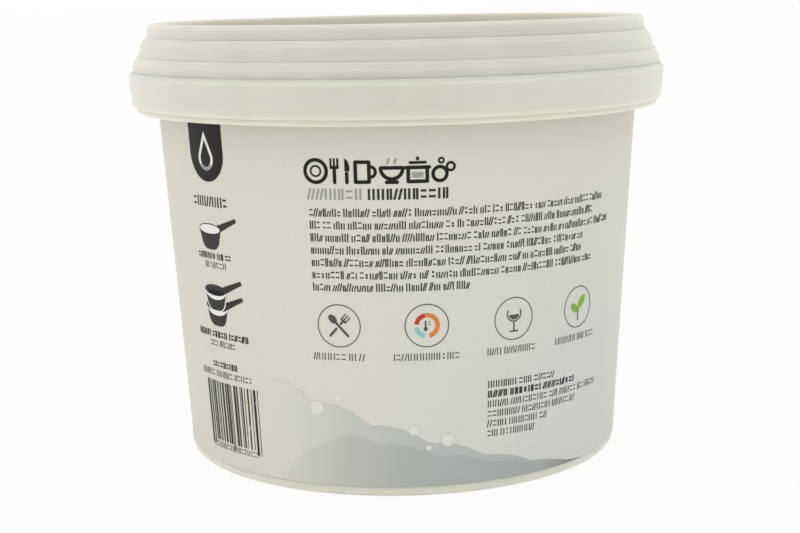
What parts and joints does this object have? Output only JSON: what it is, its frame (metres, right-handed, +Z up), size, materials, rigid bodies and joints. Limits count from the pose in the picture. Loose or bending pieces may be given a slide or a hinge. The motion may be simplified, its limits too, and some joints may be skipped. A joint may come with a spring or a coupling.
{
  "type": "dishwasher powder tub",
  "caption": "Round tapered plastic tub with a press-on lid nested in a collar, a moulded-in label, a fill of dishwasher powder and a measuring scoop.",
  "frame": {"origin": "middle of the foot ring, on the surface that the tub stands on", "axes": "+Z up along the tub's axis, -Y towards the side of the label that the picture shows, +X to the right in it"},
  "size_m": [0.173, 0.173, 0.1393],
  "materials": {
    "tub": "natural injection-moulded polypropylene, satin to gloss",
    "lid": "natural injection-moulded polypropylene, satin to gloss",
    "label": "printed in-mould film, soft gloss",
    "powder": "white granular powder",
    "scoop": "natural injection-moulded polypropylene"
  },
  "bodies": {
    "tub": {"tub": "tub", "label": "label", "powder": "powder", "scoop": "scoop"},
    "lid": {"lid": "lid"}
  },
  "joints": [
    {"name": "lid_lift", "type": "slide", "parent": "tub", "child": "lid", "axis": [0, 0, 1], "range_m": [0, 0.08]}
  ]
}
